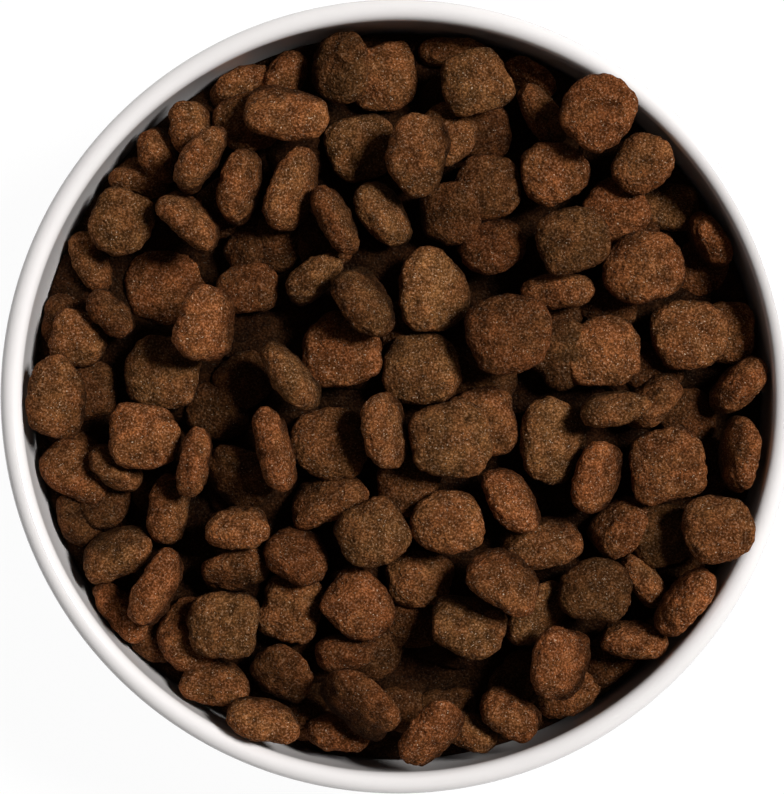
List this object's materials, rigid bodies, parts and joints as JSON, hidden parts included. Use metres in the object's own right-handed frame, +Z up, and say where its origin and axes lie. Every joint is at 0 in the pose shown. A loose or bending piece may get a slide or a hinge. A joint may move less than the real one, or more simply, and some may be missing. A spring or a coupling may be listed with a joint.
{
  "type": "bowl of dry pet food kibble",
  "caption": "Round white glazed bowl on a foot ring, heaped to its rounded lip with loose brown pillow-shaped kibble.",
  "frame": {"origin": "middle of the flat face of the foot ring, which the bowl stands on", "axes": "+Z up along the bowl's axis; +X to the right and +Y to the top of the picture, which looks straight down"},
  "size_m": [0.14, 0.14, 0.0596],
  "materials": {
    "glaze": "glossy",
    "kibble": "matte"
  },
  "bodies": {
    "root": {"bowl": "glaze", "kibble_bed": "kibble", "kibble_01": "kibble", "kibble_02": "kibble", "kibble_03": "kibble", "kibble_04": "kibble", "kibble_05": "kibble", "kibble_06": "kibble", "kibble_07": "kibble", "kibble_08": "kibble", "kibble_09": "kibble", "kibble_10": "kibble", "kibble_11": "kibble", "kibble_12": "kibble", "kibble_13": "kibble", "kibble_14": "kibble", "kibble_15": "kibble", "kibble_16": "kibble", "kibble_17": "kibble", "kibble_18": "kibble", "kibble_19": "kibble", "kibble_20": "kibble", "kibble_21": "kibble", "kibble_22": "kibble", "kibble_23": "kibble", "kibble_24": "kibble", "kibble_25": "kibble", "kibble_26": "kibble", "kibble_27": "kibble", "kibble_28": "kibble", "kibble_29": "kibble", "kibble_30": "kibble", "kibble_31": "kibble", "kibble_32": "kibble", "kibble_33": "kibble", "kibble_34": "kibble", "kibble_35": "kibble", "kibble_36": "kibble", "kibble_37": "kibble", "kibble_38": "kibble", "kibble_39": "kibble", "kibble_40": "kibble", "kibble_41": "kibble", "kibble_42": "kibble", "kibble_43": "kibble", "kibble_44": "kibble", "kibble_45": "kibble", "kibble_46": "kibble", "kibble_47": "kibble", "kibble_48": "kibble", "kibble_49": "kibble", "kibble_50": "kibble", "kibble_51": "kibble", "kibble_52": "kibble", "kibble_53": "kibble", "kibble_54": "kibble", "kibble_55": "kibble", "kibble_56": "kibble", "kibble_57": "kibble", "kibble_58": "kibble"}
  },
  "joints": []
}
